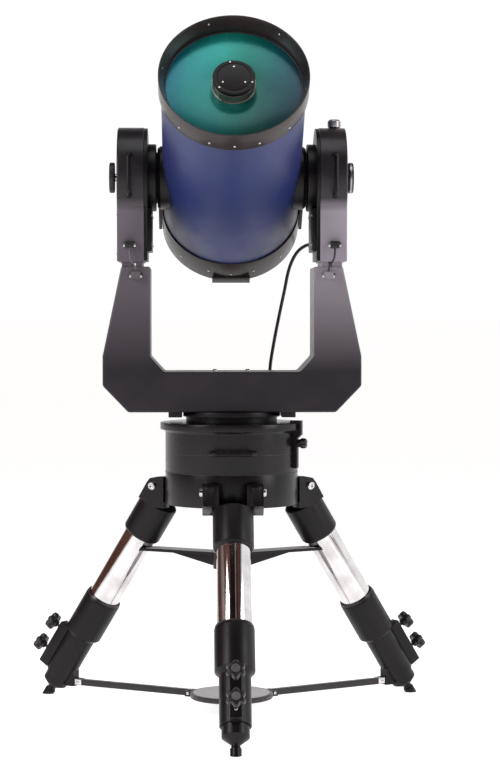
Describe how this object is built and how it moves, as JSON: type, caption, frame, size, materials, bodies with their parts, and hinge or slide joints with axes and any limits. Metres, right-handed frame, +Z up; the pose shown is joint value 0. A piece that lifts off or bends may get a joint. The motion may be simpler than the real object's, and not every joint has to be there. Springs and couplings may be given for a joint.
{
  "type": "schmidt cassegrain telescope",
  "caption": "Large Schmidt-Cassegrain telescope: closed blue tube tilting in a fork that turns on a drive base, on a heavy tripod with telescoping legs and spreaders.",
  "frame": {"origin": "on the floor under the middle of the footprint, whose front is the front leg's knobs and whose rear is the rear legs' knobs", "axes": "+Z up; -Y toward the front leg and the front of the tube; +X to the right as seen from the front; the azimuth axis stands at Y = +0.17757 m"},
  "size_m": [1.3056, 1.1388, 2.1445],
  "materials": {
    "tripod_head": "satin",
    "drive_base_housing": "satin",
    "base_handle": "satin",
    "azimuth_clamp_bracket": "satin",
    "upper_spreader": "satin",
    "draw_rod": "satin",
    "spreader_disc": "satin",
    "tension_knob": "satin",
    "azimuth_clamp_knob": "satin",
    "turntable": "satin",
    "azimuth_worm_wheel": "satin",
    "fork_base": "satin",
    "arm_left": "satin",
    "arm_right": "satin",
    "arm_cover_left": "satin",
    "arm_cover_right": "satin",
    "arm_handle_left": "satin",
    "arm_handle_right": "satin",
    "altitude_hand_wheel_left": "satin",
    "altitude_hand_wheel_right": "satin",
    "slow_motion_knob": "satin",
    "jumper_lead_left": "satin",
    "jumper_lead_right": "satin",
    "fork_cable": "satin",
    "saddle_left": "satin",
    "saddle_right": "satin",
    "altitude_worm_wheel": "satin",
    "optical_tube": "satin",
    "front_cell": "satin",
    "corrector_plate": "polished",
    "corrector_retainer": "satin",
    "secondary_housing": "satin",
    "secondary_cap": "satin",
    "secondary_mirror": "polished",
    "rear_cell": "satin",
    "baffle_tube": "satin",
    "visual_back": "satin",
    "primary_mirror": "polished",
    "focus_knob": "satin",
    "leg_head_1": "satin",
    "leg_tube_1": "polished",
    "leg_sleeve_1": "satin",
    "leg_extension_1": "satin",
    "leg_knob_1_low": "satin",
    "leg_knob_1_high": "satin",
    "spreader_bar_1": "satin",
    "leg_head_2": "satin",
    "leg_tube_2": "polished",
    "leg_sleeve_2": "satin",
    "leg_extension_2": "satin",
    "leg_knob_2_low": "satin",
    "leg_knob_2_high": "satin",
    "spreader_bar_2": "satin",
    "leg_head_3": "satin",
    "leg_tube_3": "polished",
    "leg_sleeve_3": "satin",
    "leg_extension_3": "satin",
    "leg_knob_3_low": "satin",
    "leg_knob_3_high": "satin",
    "spreader_bar_3": "satin"
  },
  "bodies": {
    "base": {"tripod_head": "tripod_head", "drive_base_housing": "drive_base_housing", "base_handle": "base_handle", "azimuth_clamp_bracket": "azimuth_clamp_bracket", "upper_spreader": "upper_spreader", "draw_rod": "draw_rod", "spreader_disc": "spreader_disc", "leg_head_1": "leg_head_1", "leg_head_2": "leg_head_2", "leg_head_3": "leg_head_3", "leg_tube_1": "leg_tube_1", "leg_tube_2": "leg_tube_2", "leg_tube_3": "leg_tube_3", "leg_sleeve_1": "leg_sleeve_1", "leg_sleeve_2": "leg_sleeve_2", "leg_sleeve_3": "leg_sleeve_3", "spreader_bar_1": "spreader_bar_1", "spreader_bar_2": "spreader_bar_2", "spreader_bar_3": "spreader_bar_3"},
    "tension_knob": {"tension_knob": "tension_knob"},
    "azimuth_clamp_knob": {"azimuth_clamp_knob": "azimuth_clamp_knob"},
    "fork": {"turntable": "turntable", "azimuth_worm_wheel": "azimuth_worm_wheel", "fork_base": "fork_base", "arm_left": "arm_left", "arm_right": "arm_right", "arm_cover_left": "arm_cover_left", "arm_cover_right": "arm_cover_right", "arm_handle_left": "arm_handle_left", "arm_handle_right": "arm_handle_right", "jumper_lead_left": "jumper_lead_left", "jumper_lead_right": "jumper_lead_right", "fork_cable": "fork_cable"},
    "altitude_hand_wheel_left": {"altitude_hand_wheel_left": "altitude_hand_wheel_left"},
    "altitude_hand_wheel_right": {"altitude_hand_wheel_right": "altitude_hand_wheel_right"},
    "slow_motion_knob": {"slow_motion_knob": "slow_motion_knob"},
    "ota": {"saddle_left": "saddle_left", "saddle_right": "saddle_right", "altitude_worm_wheel": "altitude_worm_wheel", "optical_tube": "optical_tube", "front_cell": "front_cell", "corrector_plate": "corrector_plate", "corrector_retainer": "corrector_retainer", "secondary_housing": "secondary_housing", "secondary_cap": "secondary_cap", "secondary_mirror": "secondary_mirror", "rear_cell": "rear_cell", "baffle_tube": "baffle_tube", "visual_back": "visual_back"},
    "primary_mirror": {"primary_mirror": "primary_mirror"},
    "focus_knob": {"focus_knob": "focus_knob"},
    "leg_extension_1": {"leg_extension_1": "leg_extension_1"},
    "leg_knob_1_low": {"leg_knob_1_low": "leg_knob_1_low"},
    "leg_knob_1_high": {"leg_knob_1_high": "leg_knob_1_high"},
    "leg_extension_2": {"leg_extension_2": "leg_extension_2"},
    "leg_knob_2_low": {"leg_knob_2_low": "leg_knob_2_low"},
    "leg_knob_2_high": {"leg_knob_2_high": "leg_knob_2_high"},
    "leg_extension_3": {"leg_extension_3": "leg_extension_3"},
    "leg_knob_3_low": {"leg_knob_3_low": "leg_knob_3_low"},
    "leg_knob_3_high": {"leg_knob_3_high": "leg_knob_3_high"}
  },
  "joints": [
    {"name": "azimuth_turn", "type": "hinge", "parent": "base", "child": "fork", "pos_m": [0, 0.17757, 0.92], "axis": [0, 0, 1], "continuous": true},
    {"name": "altitude_tilt", "type": "hinge", "parent": "fork", "child": "ota", "pos_m": [0, 0.17757, 1.681], "axis": [-1, 0, 0], "range_deg": [-122, 58]},
    {"name": "focus_knob_turn", "type": "hinge", "parent": "ota", "child": "focus_knob", "pos_m": [0.095, 0.36807, 1.44994], "axis": [0, 0.848, -0.5299], "range_deg": [-1800, 1800]},
    {"name": "primary_mirror_focus", "type": "slide", "parent": "ota", "child": "primary_mirror", "axis": [0, -0.848, 0.5299], "range_m": [-0.0094, 0.0094]},
    {"name": "slow_motion_knob_turn", "type": "hinge", "parent": "fork", "child": "slow_motion_knob", "pos_m": [0.322, 0.17757, 1.8488], "axis": [0, 0, 1], "range_deg": [-3600, 3600]},
    {"name": "altitude_wheel_left_turn", "type": "hinge", "parent": "fork", "child": "altitude_hand_wheel_left", "pos_m": [-0.37, 0.17757, 1.681], "axis": [-1, 0, 0], "range_deg": [0, 270]},
    {"name": "altitude_wheel_right_turn", "type": "hinge", "parent": "fork", "child": "altitude_hand_wheel_right", "pos_m": [0.37, 0.17757, 1.681], "axis": [1, 0, 0], "range_deg": [0, 270]},
    {"name": "azimuth_clamp_knob_turn", "type": "hinge", "parent": "base", "child": "azimuth_clamp_knob", "pos_m": [0.21789, 0.08954, 0.853], "axis": [0.9272, -0.3746, 0], "range_deg": [0, 270]},
    {"name": "tension_knob_turn", "type": "hinge", "parent": "base", "child": "tension_knob", "pos_m": [0, 0.17757, 0.44], "axis": [0, 0, 1], "range_deg": [0, 1080]},
    {"name": "leg_extension_1_slide", "type": "slide", "parent": "base", "child": "leg_extension_1", "axis": [0, -0.5508, -0.8346], "range_m": [0, 0.3]},
    {"name": "leg_knob_1_low_turn", "type": "hinge", "parent": "base", "child": "leg_knob_1_low", "pos_m": [0, -0.53873, 0.16742], "axis": [0, -0.8346, 0.5508], "range_deg": [0, 720]},
    {"name": "leg_knob_1_high_turn", "type": "hinge", "parent": "base", "child": "leg_knob_1_high", "pos_m": [0, -0.49136, 0.2392], "axis": [0, -0.8346, 0.5508], "range_deg": [0, 720]},
    {"name": "leg_extension_2_slide", "type": "slide", "parent": "base", "child": "leg_extension_2", "axis": [0.477, 0.2754, -0.8346], "range_m": [0, 0.3]},
    {"name": "leg_knob_2_low_turn", "type": "hinge", "parent": "base", "child": "leg_knob_2_low", "pos_m": [0.62033, 0.53572, 0.16742], "axis": [0.7228, 0.4173, 0.5508], "range_deg": [0, 720]},
    {"name": "leg_knob_2_high_turn", "type": "hinge", "parent": "base", "child": "leg_knob_2_high", "pos_m": [0.57931, 0.51203, 0.2392], "axis": [0.7228, 0.4173, 0.5508], "range_deg": [0, 720]},
    {"name": "leg_extension_3_slide", "type": "slide", "parent": "base", "child": "leg_extension_3", "axis": [-0.477, 0.2754, -0.8346], "range_m": [0, 0.3]},
    {"name": "leg_knob_3_low_turn", "type": "hinge", "parent": "base", "child": "leg_knob_3_low", "pos_m": [-0.62033, 0.53572, 0.16742], "axis": [-0.7228, 0.4173, 0.5508], "range_deg": [0, 720]},
    {"name": "leg_knob_3_high_turn", "type": "hinge", "parent": "base", "child": "leg_knob_3_high", "pos_m": [-0.57931, 0.51203, 0.2392], "axis": [-0.7228, 0.4173, 0.5508], "range_deg": [0, 720]}
  ],
  "couplings": [
    {"joint": "focus_knob_turn", "follows": "primary_mirror_focus", "rad_per_m": 3333.3}
  ]
}
